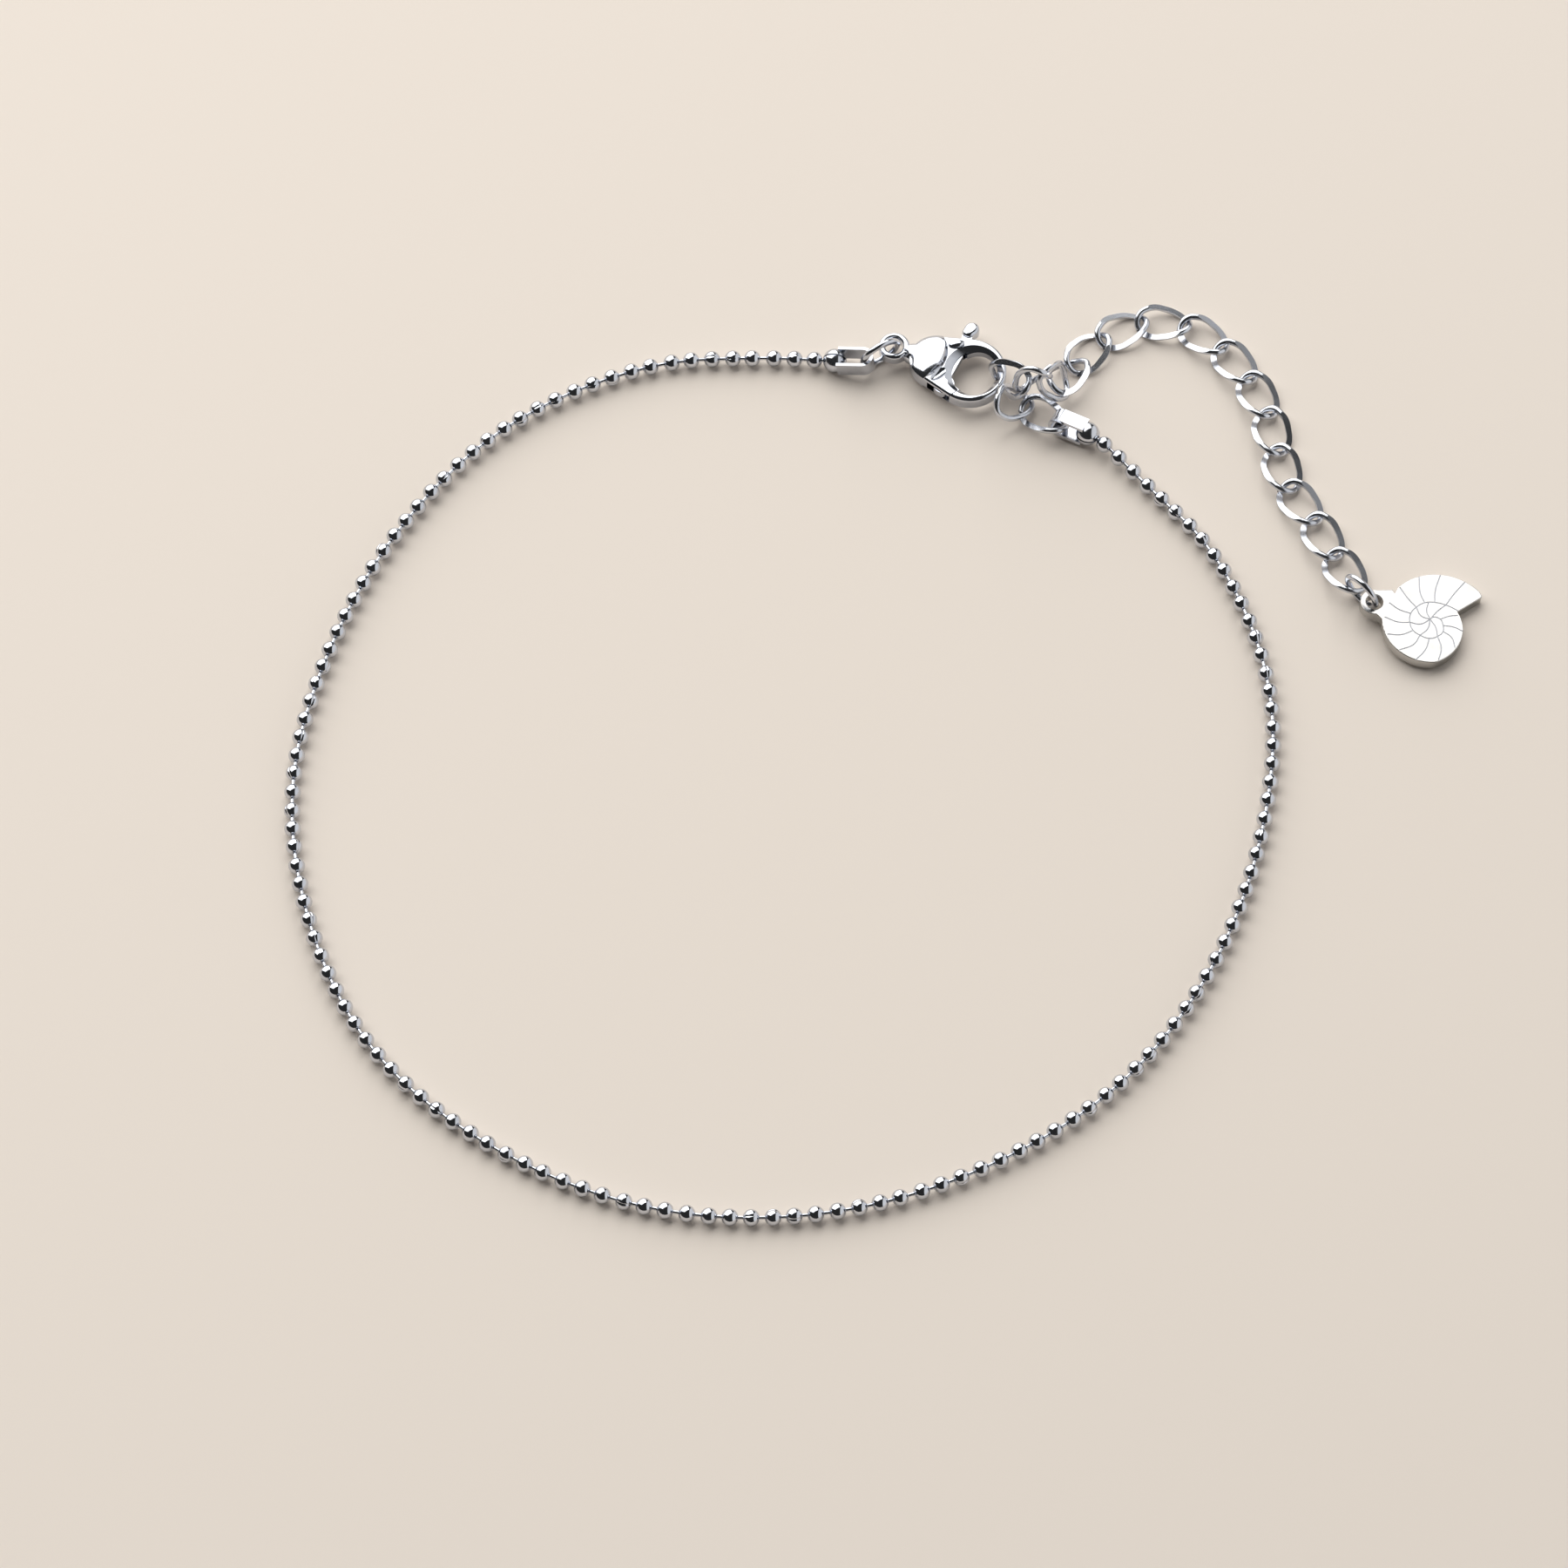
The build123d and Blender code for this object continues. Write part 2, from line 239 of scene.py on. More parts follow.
@dataclass(frozen=True)
class Steel:
    """Polished stainless steel, with a faint haze, fine rubbing marks and slightly duller patches."""

    name: str
    colour: Colour = (0.63, 0.65, 0.70)
    dull_colour: Colour = (0.55, 0.57, 0.62)
    roughness: float = 0.07
    roughness_spread: float = 0.07
    haze_size: float = 1.6
    haze_detail: float = 3.0
    haze_breakup: float = 0.6
    cloud_low: float = 0.35
    cloud_high: float = 0.75
    mark_size: float = 0.09
    mark_depth: float = 0.002
    mark_detail: float = 2.0
    mark_distortion: float = 1.5
    mark_strength: float = 0.25

    def material(self) -> bpy.types.Material:
        """Build the finish.

        Returns:
            The material.
        """
        made = bpy.data.materials.new(self.name)
        made.use_nodes = True
        graph = Graph(made.node_tree)
        place = graph.node("ShaderNodeTexCoord").outputs["Object"]
        haze = graph.node(
            "ShaderNodeTexNoise", {"noise_dimensions": "3D"},
            {
                "Vector": place,
                "Scale": 1 / (self.haze_size * MM),
                "Detail": self.haze_detail,
                "Roughness": self.haze_breakup,
            },
        )
        cloud = graph.term(haze).step(self.cloud_low, self.cloud_high)
        marks = graph.node(
            "ShaderNodeTexNoise", {"noise_dimensions": "3D"},
            {
                "Vector": place,
                "Scale": 1 / (self.mark_size * MM),
                "Detail": self.mark_detail,
                "Distortion": self.mark_distortion,
            },
        )
        bump = graph.node(
            "ShaderNodeBump", {},
            {
                "Strength": self.mark_strength,
                "Distance": self.mark_depth * MM,
                "Height": graph.term(marks),
            },
        )
        shader = graph.node(
            "ShaderNodeBsdfPrincipled", {},
            {
                "Base Color": graph.blend(cloud, self.colour, self.dull_colour),
                "Metallic": 1.0,
                "Roughness": self.roughness + cloud * self.roughness_spread,
                "Normal": bump.outputs["Normal"],
            },
        )
        graph.node("ShaderNodeOutputMaterial", {}, {"Surface": shader.outputs[0]})
        return made


@dataclass(frozen=True)
class EtchedSteel:
    """Matt grey floor of an engraved line."""

    name: str
    colour: Colour = (0.68, 0.69, 0.73)
    pale_colour: Colour = (0.78, 0.79, 0.82)
    grain_size: float = 0.05
    grain_detail: float = 2.0
    metallic: float = 0.15
    roughness: float = 0.4
    roughness_spread: float = 0.2

    def material(self) -> bpy.types.Material:
        """Build the finish.

        Returns:
            The material.
        """
        made = bpy.data.materials.new(self.name)
        made.use_nodes = True
        graph = Graph(made.node_tree)
        place = graph.node("ShaderNodeTexCoord").outputs["Object"]
        grain = graph.node(
            "ShaderNodeTexNoise", {"noise_dimensions": "3D"},
            {"Vector": place, "Scale": 1 / (self.grain_size * MM), "Detail": self.grain_detail},
        )
        speck = graph.term(grain)
        shader = graph.node(
            "ShaderNodeBsdfPrincipled", {},
            {
                "Base Color": graph.blend(speck, self.colour, self.pale_colour),
                "Metallic": self.metallic,
                "Roughness": self.roughness + speck * self.roughness_spread,
            },
        )
        graph.node("ShaderNodeOutputMaterial", {}, {"Surface": shader.outputs[0]})
        return made


class GeometryTree:
    """A Geometry Nodes tree with named inputs, run once on an object and turned into a plain mesh."""

    def __init__(self, name: str) -> None:
        """Make an empty tree.

        Args:
            name: The tree's name.
        """
        self.tree = bpy.data.node_groups.new(name, "GeometryNodeTree")
        self.graph = Graph(self.tree)
        self.values: dict[str, object] = {}
        self.tree.interface.new_socket("Geometry", in_out="INPUT", socket_type="NodeSocketGeometry")
        self.tree.interface.new_socket("Geometry", in_out="OUTPUT", socket_type="NodeSocketGeometry")
        self.entry = self.graph.node("NodeGroupInput")

    def input(self, name: str, kind: str, value: object) -> bpy.types.NodeSocket:
        """Add a named input.

        Args:
            name: The input's name.
            kind: Its socket type, such as NodeSocketFloat.
            value: What the run gives it.

        Returns:
            The socket inside the tree.
        """
        socket = self.tree.interface.new_socket(name, in_out="INPUT", socket_type=kind)
        self.values[socket.identifier] = value
        return self.entry.outputs[name]

    @property
    def geometry(self) -> bpy.types.NodeSocket:
        """The geometry that the tree is given."""
        return self.entry.outputs["Geometry"]

    def finish(self, geometry: bpy.types.NodeSocket) -> None:
        """Close the tree on its last geometry, with every instance made real."""
        real = self.graph.node("GeometryNodeRealizeInstances", {}, {0: geometry})
        self.graph.node("NodeGroupOutput", {}, {0: real.outputs[0]})

    def run(self, source: bpy.types.Object, name: str) -> bpy.types.Object:
        """Run the tree on an object.

        Args:
            source: The object that the tree starts from.
            name: Name of the new piece.

        Returns:
            A mesh object at the origin, with no modifier.
        """
        modifier = source.modifiers.new(self.tree.name, "NODES")
        modifier.node_group = self.tree
        for identifier, value in self.values.items():
            modifier[identifier] = value
        graph = bpy.context.evaluated_depsgraph_get()
        mesh = bpy.data.meshes.new_from_object(source.evaluated_get(graph), depsgraph=graph)
        source.modifiers.remove(modifier)
        mesh.name = name
        return link_object(name, mesh)


def link_object(name: str, data: bpy.types.ID | None) -> bpy.types.Object:
    """Put an object in the scene.

    Args:
        name: The object's name.
        data: What it shows.

    Returns:
        The object.
    """
    made = bpy.data.objects.new(name, data)
    bpy.context.scene.collection.objects.link(made)
    return made


def discard(*objects: bpy.types.Object) -> None:
    """Remove helper objects."""
    for each in objects:
        bpy.data.objects.remove(each)


def curve_through(name: str, lines: Iterable[Sequence[Vector]], steps: int) -> bpy.types.Object:
    """Smooth curves that pass through points.

    Args:
        name: The curve object's name.
        lines: One list of points for each curve, in metres.
        steps: Straight pieces from one point to the next.

    Returns:
        The curve object.
    """
    data = bpy.data.curves.new(name, "CURVE")
    data.dimensions = "3D"
    data.resolution_u = steps
    for line in lines:
        spline = data.splines.new("BEZIER")
        spline.bezier_points.add(len(line) - 1)
        for knot, point in zip(spline.bezier_points, line):
            knot.co = point
            knot.handle_left_type = knot.handle_right_type = "AUTO"
    return link_object(name, data)


def seat(piece: bpy.types.Object, body: Body, slot: Slot, *nodes: str) -> None:
    """Let a piece ride on its body and stand for the CAD nodes it replaces.

    Args:
        piece: The finished mesh object.
        body: The body that it moves with.
        slot: The record's material slot; not used.
        nodes: CAD nodes that it stands for.
    """
    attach(piece, body.value)
    if nodes:
        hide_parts(*nodes)


def dress(node: bpy.types.Object, material: bpy.types.Material) -> None:
    """Give a CAD node its finish."""
    for held in node.material_slots:
        held.material = material


@dataclass
class BallChain:
    """Hollow balls on short bars, along the chain's route from one end connector's cup to the other's."""

    route: PlanLine = (
        (-1.8, 38.8), (-11.0, 38.4), (-22.5, 32.7), (-30.8, 22.9),
        (-36.1, 11.4), (-38.8, -0.9), (-36.7, -13.9), (-31.3, -25.0), (-21.1, -33.3),
        (-9.4, -38.0), (3.4, -38.2), (15.5, -34.2), (26.1, -27.0), (33.4, -16.6),
        (37.5, -4.4), (38.6, 8.2), (34.5, 20.4), (28.4, 27.2),
    )
    first_cup: Point = (4.05, 38.32, 0.95)
    first_mouth: Point = (3.021, 38.448, 0.786)
    last_mouth: Point = (25.092, 30.886, 1.13)
    last_cup: Point = (24.15, 31.35, 1.13)
    ball_radius: float = 0.66
    bar_radius: float = 0.155
    bar_sides: int = 8
    bar_steps: int = 4
    hole_radius: float = 0.2
    lip_depth: float = 0.07
    lip_share: float = 0.9
    route_steps: int = 24
    pitch: float = 1.638
    play: float = 0.05
    sway: float = 0.07
    seam_width: float = 0.05
    seam_depth: float = 0.03
    segments: int = 19
    rings: int = 10
    seed: int = 7
    finish: Steel = field(
        default_factory=lambda: Steel("ball_chain_polish", roughness=0.06, roughness_spread=0.06)
    )

    def route_points(self) -> list[Vector]:
        """Control points of the route.

        Returns:
            The points, in metres.
        """
        floor_points = [(x, y, self.ball_radius) for x, y in self.route]
        ends = (self.first_cup, self.first_mouth), (self.last_mouth, self.last_cup)
        return [metres(point) for point in (*ends[0], *floor_points, *ends[1])]

    def route_curve(self) -> bpy.types.Object:
        """The route as one smooth open spline.

        Returns:
            The curve object.
        """
        data = bpy.data.curves.new("chain_route", "CURVE")
        data.dimensions = "3D"
        data.resolution_u = self.route_steps
        points = self.route_points()
        spline = data.splines.new("NURBS")
        spline.points.add(len(points) - 1)
        for knot, point in zip(spline.points, points):
            knot.co = (*point, 1.0)
        spline.order_u = 3
        spline.use_endpoint_u = True
        return link_object("chain_route", data)

    def ball_profile(self) -> list[tuple[float, float]]:
        """Half section of a ball from one hole's lip to the other's.

        Returns:
            Place along the axis and radius, for each point.
        """
        reach = math.acos(self.hole_radius / self.ball_radius)
        angles = [reach - 2 * reach * step / self.rings for step in range(self.rings + 1)]
        shell = [(-self.ball_radius * math.sin(a), self.ball_radius * math.cos(a)) for a in angles]
        inner = self.ball_radius * math.sin(reach) - self.lip_depth
        lip = (inner, self.bar_radius * self.lip_share)
        return [(-lip[0], lip[1]), *shell, lip]

    def ball(self) -> bpy.types.Object:
        """One ball about the Z axis, rolled from sheet so that it has a fine seam from hole to hole.

        Returns:
            The ball's object, a source for the chain's instances.
        """
        half_seam = self.seam_width / self.ball_radius / 2
        turns = [-half_seam, 0.0, half_seam]
        turns += [2 * math.pi * step / self.segments for step in range(1, self.segments)]
        shape = bmesh.new()
        rows = []
        for along, radius in self.ball_profile():
            depth = self.seam_depth * min(1.0, radius / self.ball_radius)
            row = []
            for turn in turns:
                out = radius - (depth if turn == 0.0 else 0.0)
                spot = Vector((out * math.cos(turn), out * math.sin(turn), along)) * MM
                row.append(shape.verts.new(spot))
            rows.append(row)
        for low, high in zip(rows, rows[1:]):
            for step in range(len(turns)):
                after = (step + 1) % len(turns)
                face = shape.faces.new((low[step], low[after], high[after], high[step]))
                face.smooth = True
        shape.faces.new(list(reversed(rows[0])))
        shape.faces.new(rows[-1])
        bmesh.ops.recalc_face_normals(shape, faces=shape.faces)
        mesh = bpy.data.meshes.new("ball")
        shape.to_mesh(mesh)
        shape.free()
        return link_object("ball", mesh)

    def tree(self, ball: bpy.types.Object, material: bpy.types.Material) -> GeometryTree:
        """Geometry Nodes that thread the balls and the bars along the route.

        Args:
            ball: The ball to repeat.
            material: The chain's finish.

        Returns:
            The tree.
        """
        tree = GeometryTree("ball_chain")
        graph = tree.graph
        pitch = tree.input("Pitch", "NodeSocketFloat", self.pitch * MM)
        bar = tree.input("Bar radius", "NodeSocketFloat", self.bar_radius * MM)
        play = tree.input("Play", "NodeSocketFloat", self.play * MM)
        sway = tree.input("Sway", "NodeSocketFloat", self.sway)
        seed = tree.input("Seed", "NodeSocketInt", self.seed)
        source = tree.input("Ball", "NodeSocketObject", ball)
        finish = tree.input("Finish", "NodeSocketMaterial", material)

        length = graph.term(graph.node("GeometryNodeCurveLength", {}, {0: tree.geometry}))
        gaps = (length / Term(graph, pitch)).rounded()
        threaded = graph.node(
            "GeometryNodeResampleCurve", {}, {"Curve": tree.geometry, "Count": gaps + 1}
        ).outputs[0]
        beads = graph.node("GeometryNodeCurveToPoints", {"mode": "EVALUATED"}, {"Curve": threaded})
        slide = graph.draw(-1.0, 1.0, seed)
        shift = graph.node(
            "ShaderNodeVectorMath", {"operation": "SCALE"},
            {0: beads.outputs["Tangent"], "Scale": Term(graph, slide) * Term(graph, play)},
        )
        inner = graph.node("GeometryNodeInputIndex").outputs[0]
        # The first and the last ball stay in their cups, and only those between them slide.
        before_last = graph.compare("LESS_THAN", inner, gaps)
        after_first = graph.compare("GREATER_THAN", inner, 0.5)
        loose = graph.node("FunctionNodeBooleanMath", {}, {0: before_last, 1: after_first})
        moved = graph.node(
            "GeometryNodeSetPosition", {},
            {
                "Geometry": beads.outputs["Points"],
                "Selection": loose.outputs[0],
                "Offset": shift.outputs[0],
            },
        )
        aim = graph.node(
            "FunctionNodeAlignRotationToVector", {"axis": "Z"}, {"Vector": beads.outputs["Tangent"]}
        ).outputs[0]
        spin = graph.draw(0.0, 2 * math.pi, Term(graph, seed) + 1)
        lean = graph.node(
            "FunctionNodeRandomValue", {"data_type": "FLOAT_VECTOR"},
            {0: (-1.0, -1.0, 0.0), 1: (1.0, 1.0, 0.0), "Seed": Term(graph, seed) + 2},
        ).outputs[0]
        lean = graph.node(
            "ShaderNodeVectorMath", {"operation": "SCALE"}, {0: lean, "Scale": sway}
        ).outputs[0]
        turn = graph.node("ShaderNodeCombineXYZ", {}, {"Z": spin}).outputs[0]
        local = graph.node("ShaderNodeVectorMath", {"operation": "ADD"}, {0: lean, 1: turn}).outputs[0]
        local = graph.node("FunctionNodeEulerToRotation", {}, {0: local}).outputs[0]
        facing = graph.node(
            "FunctionNodeRotateRotation", {"rotation_space": "LOCAL"},
            {"Rotation": aim, "Rotate By": local},
        ).outputs[0]
        ball_mesh = graph.node("GeometryNodeObjectInfo", {}, {"Object": source}).outputs["Geometry"]
        balls = graph.node(
            "GeometryNodeInstanceOnPoints", {},
            {"Points": moved.outputs[0], "Instance": ball_mesh, "Rotation": facing},
        )
        fine = graph.node(
            "GeometryNodeResampleCurve", {}, {"Curve": tree.geometry, "Count": gaps * self.bar_steps + 1}
        )
        section = graph.node(
            "GeometryNodeCurvePrimitiveCircle", {}, {"Resolution": self.bar_sides, "Radius": bar}
        )
        bars = graph.node(
            "GeometryNodeCurveToMesh", {},
            {"Curve": fine.outputs[0], "Profile Curve": section.outputs[0], "Fill Caps": True},
        )
        joined = graph.node("GeometryNodeJoinGeometry")
        graph.tree.links.new(balls.outputs[0], joined.inputs[0])
        graph.tree.links.new(bars.outputs[0], joined.inputs[0])
        dressed = graph.node(
            "GeometryNodeSetMaterial", {}, {"Geometry": joined.outputs[0], "Material": finish}
        )
        tree.finish(dressed.outputs[0])
        return tree

    def build(self) -> bpy.types.Object:
        """Build the chain and let it stand for its CAD tube.

        Returns:
            The chain's piece.
        """
        route = self.route_curve()
        ball = self.ball()
        piece = self.tree(ball, self.finish.material()).run(route, "ball_chain")
        discard(route, ball)
        seat(piece, Body.ANKLET, Slot.BALL_CHAIN, "bead_chain")
        LOG.info("ball chain: %d faces", len(piece.data.polygons))
        return piece


@dataclass
class ShellCharm:
    """Flat polished nautilus plate with a spiral and its chamber walls engraved in the top face."""

    node: str = "shell_charm"
    middle: Point = (50.68, 14.16, 0.31)
    tilt: float = 4.2
    thickness: float = 0.9
    line_width: float = 0.12
    line_sides: int = 4
    line_steps: int = 10
    weld: float = 0.0005
    sharp_angle: float = 55.0
    flat_limit: float = 0.9995
    spiral: PlanLine = (
        (2.22, 0.89), (1.43, 1.31), (0.42, 1.57), (-0.39, 1.5), (-1.06, 1.06), (-1.52, 0.47),
        (-1.62, -0.34), (-1.39, -1.06), (-0.85, -1.48), (-0.13, -1.73), (0.53, -1.52), (0.98, -1.06),
        (1.0, -0.51), (0.8, 0.04), (0.23, 0.21), (0.0, 0.0),
    )
    walls: Sequence[PlanLine] = (
        ((-1.06, 1.06), (-1.69, 1.82), (-2.31, 2.84)),
        ((-0.39, 1.5), (-0.69, 2.33), (-0.74, 3.91)),
        ((0.42, 1.57), (0.49, 2.59), (0.95, 4.08)),
        ((1.29, 1.36), (1.99, 2.42), (2.87, 3.53)),
        ((-1.52, 0.47), (-2.45, 0.81), (-3.2, 1.4)),
        ((-1.62, -0.34), (-2.57, -0.34), (-3.61, 0.08)),
        ((-1.39, -1.06), (-2.31, -1.48), (-3.44, -1.48)),
        ((-0.85, -1.48), (-1.39, -2.33), (-2.54, -2.88)),
        ((-0.13, -1.73), (-0.46, -2.75), (-1.26, -3.72)),
        ((0.53, -1.52), (0.78, -2.58), (0.53, -3.68)),
        ((0.98, -1.06), (1.62, -1.57), (1.88, -2.5)),
        ((1.0, -0.51), (1.87, -0.64), (2.52, -0.97)),
        ((0.8, 0.04), (1.47, 0.34), (2.21, 0.47)),
    )
    spokes: Sequence[PlanLine] = (
        ((0.0, 0.0), (-0.72, 0.3), (-1.06, 1.06)),
        ((0.0, 0.0), (-0.25, 0.72), (-0.09, 1.52)),
        ((0.0, 0.0), (0.58, 0.74), (1.27, 1.36)),
        ((0.0, 0.0), (-0.78, -0.46), (-1.62, -0.34)),
        ((0.0, 0.0), (-0.22, -0.85), (-0.85, -1.48)),
        ((0.0, 0.0), (0.41, -0.72), (0.53, -1.52)),
    )
    finish: Steel = field(
        default_factory=lambda: Steel(
            "charm_polish", (0.50, 0.49, 0.475), (0.47, 0.465, 0.455),
            roughness=0.16, roughness_spread=0.08,
        )
    )
    etch: EtchedSteel = field(default_factory=lambda: EtchedSteel("charm_etching"))

    @property
    def turn(self) -> Matrix:
        """Lean of the plate, whose loop end rests on the ring."""
        return Matrix.Rotation(math.radians(self.tilt), 3, "Y")

    @property
    def upward(self) -> Vector:
        """Normal of the plate's top face."""
        return self.turn @ Vector((0, 0, 1))

    def on_face(self, point: tuple[float, float]) -> Vector:
        """Place, in metres, of a point on the charm's top face."""
        return metres(Vector(self.middle) + self.turn @ Vector((*point, self.thickness)))

    def plate(self) -> bpy.types.Object:
        """Closed copy of the CAD plate, with its loose triangles merged.

        Returns:
            The plate's object.
        """
        source = bpy.data.objects[self.node].data
        shape = bmesh.new()
        shape.from_mesh(source)
        bmesh.ops.remove_doubles(shape, verts=shape.verts, dist=self.weld * MM)
        mesh = bpy.data.meshes.new("charm_plate")
        shape.to_mesh(mesh)
        shape.free()
        stored = mesh.attributes.get("custom_normal")
        if stored is not None:
            mesh.attributes.remove(stored)
        return link_object("charm_plate", mesh)

    def tree(
        self, cuts: bpy.types.Object, polish: bpy.types.Material, etch: bpy.types.Material
    ) -> GeometryTree:
        """Geometry Nodes that cut V-shaped lines along the curves.

        Args:
            cuts: The engraved lines' curves.
            polish: Finish of the plate.
            etch: Finish of the lines.

        Returns:
            The tree.
        """
        tree = GeometryTree("charm_engraving")
        graph = tree.graph
        width = tree.input("Line width", "NodeSocketFloat", self.line_width * MM)
        lines = tree.input("Lines", "NodeSocketObject", cuts)
        plain = tree.input("Polish", "NodeSocketMaterial", polish)
        grey = tree.input("Etching", "NodeSocketMaterial", etch)
        face = graph.node("GeometryNodeSetMaterial", {}, {"Geometry": tree.geometry, "Material": plain})
        curves = graph.node("GeometryNodeObjectInfo", {}, {"Object": lines}).outputs["Geometry"]
        section = graph.node(
            "GeometryNodeCurvePrimitiveCircle", {},
            {"Resolution": self.line_sides, "Radius": Term(graph, width) * 0.5},
        )
        upright = graph.node("GeometryNodeSetCurveNormal", {"mode": "Z_UP"}, {"Curve": curves})
        burr = graph.node(
            "GeometryNodeCurveToMesh", {},
            {"Curve": upright.outputs[0], "Profile Curve": section.outputs[0], "Fill Caps": True},
        )
        burr = graph.node("GeometryNodeSetMaterial", {}, {"Geometry": burr.outputs[0], "Material": grey})
        island = graph.node("GeometryNodeInputMeshIsland").outputs["Island Index"]
        apart = graph.node(
            "GeometryNodeSplitToInstances", {"domain": "FACE"},
            {"Geometry": burr.outputs[0], "Group ID": island},
        )
        cut = graph.node(
            "GeometryNodeMeshBoolean", {"operation": "DIFFERENCE", "solver": "MANIFOLD"},
            {"Mesh 1": face.outputs[0], "Mesh 2": apart.outputs[0]},
        )
        tree.finish(cut.outputs[0])
        return tree

    def build(self) -> bpy.types.Object:
        """Engrave the plate and let it stand for the CAD charm.

        Returns:
            The charm's piece.
        """
        plate = self.plate()
        lines = [self.spiral, *self.walls, *self.spokes]
        places = [[self.on_face(point) for point in line] for line in lines]
        cuts = curve_through("charm_lines", places, self.line_steps)
        piece = self.tree(cuts, self.finish.material(), self.etch.material()).run(plate, "engraved_charm")
        discard(plate, cuts)
        piece.data.set_sharp_from_angle(angle=math.radians(self.sharp_angle))
        for face in piece.data.polygons:
            face.use_smooth = abs(face.normal.dot(self.upward)) < self.flat_limit
        seat(piece, Body.ANKLET, Slot.CHARM, self.node)
        LOG.info("engraved charm: %d faces", len(piece.data.polygons))
        return piece


@dataclass
class Fittings:
    """The pieces that keep their CAD shape: clasp, end connectors, rings and curb links."""

    links: int = 17
    clasp: Steel = field(
        default_factory=lambda: Steel("clasp_polish", roughness=0.1, roughness_spread=0.06)
    )
    connector: Steel = field(default_factory=lambda: Steel("connector_polish", roughness=0.14))
    ring: Steel = field(default_factory=lambda: Steel("ring_polish", roughness=0.14))
    link: Steel = field(default_factory=lambda: Steel("link_polish", roughness=0.2))

    def groups(self) -> dict[Steel, list[str]]:
        """Sort the CAD nodes by finish.

        Returns:
            The nodes' names under each finish.
        """
        return {
            self.clasp: ["clasp_body", "clasp_lever", "clasp_rivet"],
            self.connector: ["end_connector_clasp_side", "end_connector_extender_side"],
            self.ring: ["clasp_jump_ring", "charm_ring"],
            self.link: [f"extender_link_{number:02}" for number in range(1, self.links + 1)],
        }

    def build(self) -> None:
        """Dress the CAD nodes."""
        for finish, names in self.groups().items():
            material = finish.material()
            for name in names:
                dress(bpy.data.objects[name], material)
            LOG.info("%s: %d pieces", finish.name, len(names))


@dataclass(frozen=True)
class Softbox:
    """Rectangular studio lamp that faces the anklet."""

    name: str
    place: Point
    across: Point
    width: float
    height: float
    radiance: float
    colour: Colour = (1.0, 1.0, 1.0)

    def build(self) -> bpy.types.Object:
        """Hang the lamp.

        Returns:
            The lamp's object.
        """
        lamp = bpy.data.lights.new(self.name, "AREA")
        lamp.shape = "RECTANGLE"
        lamp.size = self.width
        lamp.size_y = self.height
        lamp.energy = self.radiance * math.pi * self.width * self.height
        lamp.color = self.colour
        made = link_object(self.name, lamp)
        away = Vector(self.place).normalized()
        along = Vector(self.across)
        along = (along - away * along.dot(away)).normalized()
        axes = Matrix((along, away.cross(along), away)).transposed().to_4x4()
        made.matrix_world = Matrix.Translation(self.place) @ axes
        return made


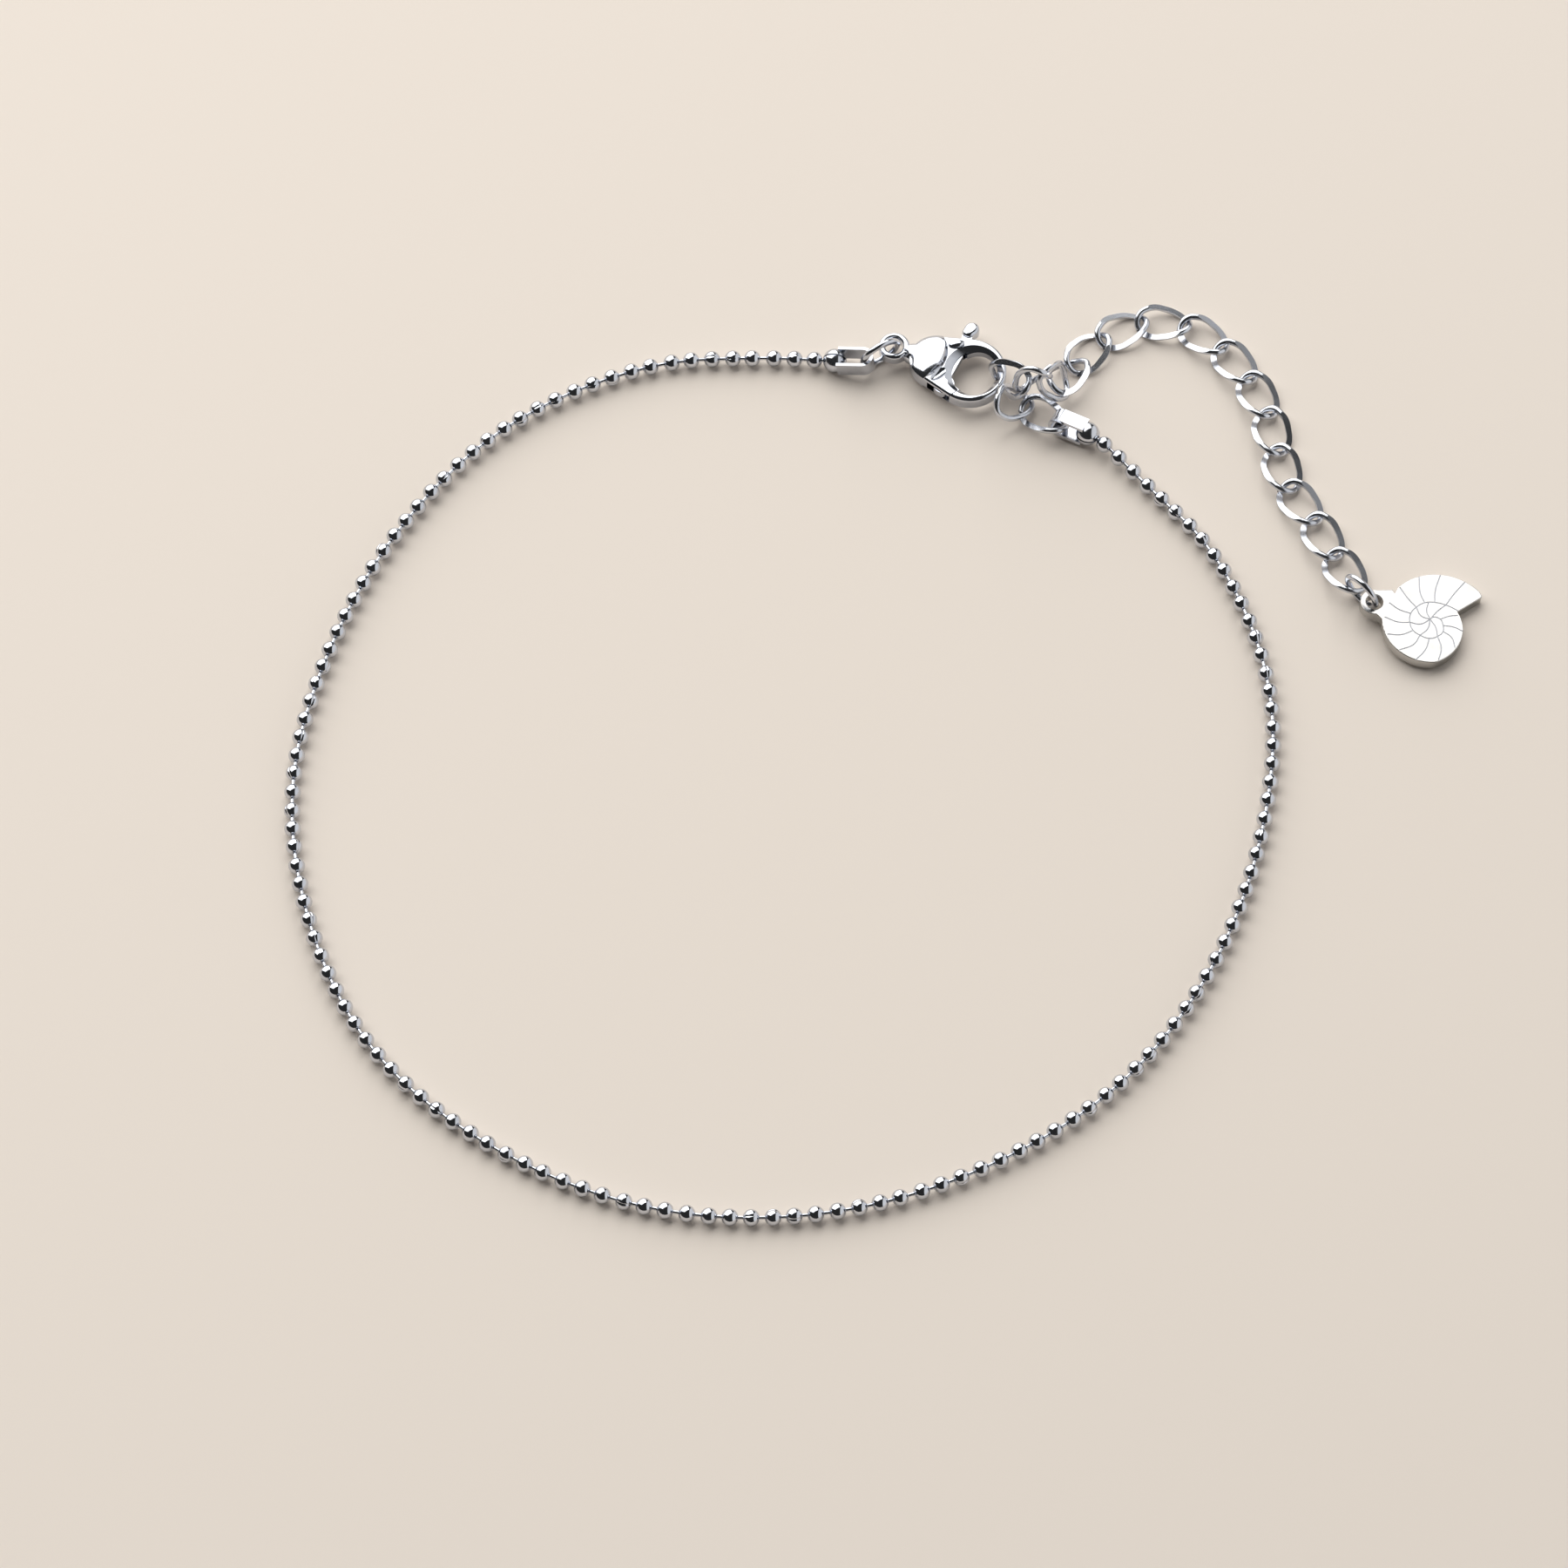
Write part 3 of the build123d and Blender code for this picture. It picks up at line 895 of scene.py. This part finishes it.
@dataclass
class Studio:
    """Pale floor, soft lamps, dim walls and the camera."""

    floor_size: float = 3.0
    floor_colour: Colour = (0.89, 0.805, 0.72)
    floor_roughness: float = 0.8
    floor_specular: float = 0.2
    wall_dark: float = 0.03
    wall_light: float = 0.88
    wall_start: float = 0.5
    wall_end: float = 0.62
    lamps: Sequence[Softbox] = (
        Softbox(
            "back_left_softbox", place=(-0.34, 0.69, 0.64), across=(-0.82, -0.57, 0.06),
            width=1.72, height=1.5, radiance=2.5, colour=(1.0, 0.995, 0.98),
        ),
    )
    eye: Point = (-0.0080, -0.3474, 0.60925)
    target: Point = (-0.0080, -0.0027, 0.0)
    sensor: float = 36.0
    lens: float = 206.4
    near_limit: float = 0.01

    def floor(self) -> bpy.types.Object:
        """Lay the floor.

        Returns:
            The floor's object.
        """
        half = self.floor_size / 2
        mesh = bpy.data.meshes.new("floor")
        corners = [(-half, -half, 0.0), (half, -half, 0.0), (half, half, 0.0), (-half, half, 0.0)]
        mesh.from_pydata(corners, [], [(0, 1, 2, 3)])
        made = link_object("floor", mesh)
        paint = bpy.data.materials.new("floor_paint")
        paint.use_nodes = True
        graph = Graph(paint.node_tree)
        shader = graph.node(
            "ShaderNodeBsdfPrincipled", {},
            {
                "Base Color": (*self.floor_colour, 1.0),
                "Roughness": self.floor_roughness,
                "Specular IOR Level": self.floor_specular,
            },
        )
        graph.node("ShaderNodeOutputMaterial", {}, {"Surface": shader.outputs[0]})
        mesh.materials.append(paint)
        return made

    def walls(self) -> None:
        """Colour the room by direction: dark all round, with a pale wall on the right."""
        world = bpy.data.worlds.new("room")
        bpy.context.scene.world = world
        world.use_nodes = True
        graph = Graph(world.node_tree)
        place = graph.node("ShaderNodeTexCoord").outputs["Generated"]
        parts = graph.node("ShaderNodeSeparateXYZ", {}, {0: place})
        share = graph.term(parts, 0).step(self.wall_start, self.wall_end)
        colour = graph.blend(share, (self.wall_dark,) * 3, (self.wall_light,) * 3)
        shader = graph.node("ShaderNodeBackground", {}, {"Color": colour, "Strength": 1.0})
        graph.node("ShaderNodeOutputWorld", {}, {"Surface": shader.outputs[0]})

    def camera(self) -> bpy.types.Object:
        """Set up the camera.

        Returns:
            The camera's object.
        """
        data = bpy.data.cameras.new("camera")
        data.sensor_width = self.sensor
        data.lens = self.lens
        data.clip_start = self.near_limit
        made = link_object("camera", data)
        made.location = self.eye
        away = Vector(self.eye) - Vector(self.target)
        made.rotation_euler = away.to_track_quat("Z", "Y").to_euler()
        bpy.context.scene.camera = made
        return made

    def build(self) -> None:
        """Build the whole studio."""
        self.floor()
        self.walls()
        for lamp in self.lamps:
            lamp.build()
        self.camera()
        bpy.context.scene.view_settings.view_transform = "Standard"
        LOG.info("studio: %d lamps", len(self.lamps))


def main() -> None:
    """Load the frame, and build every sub-assembly in order."""
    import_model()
    bpy.context.view_layer.update()
    BallChain().build()
    Fittings().build()
    ShellCharm().build()
    Studio().build()
    bpy.context.view_layer.update()


if __name__ == "__main__":
    main()
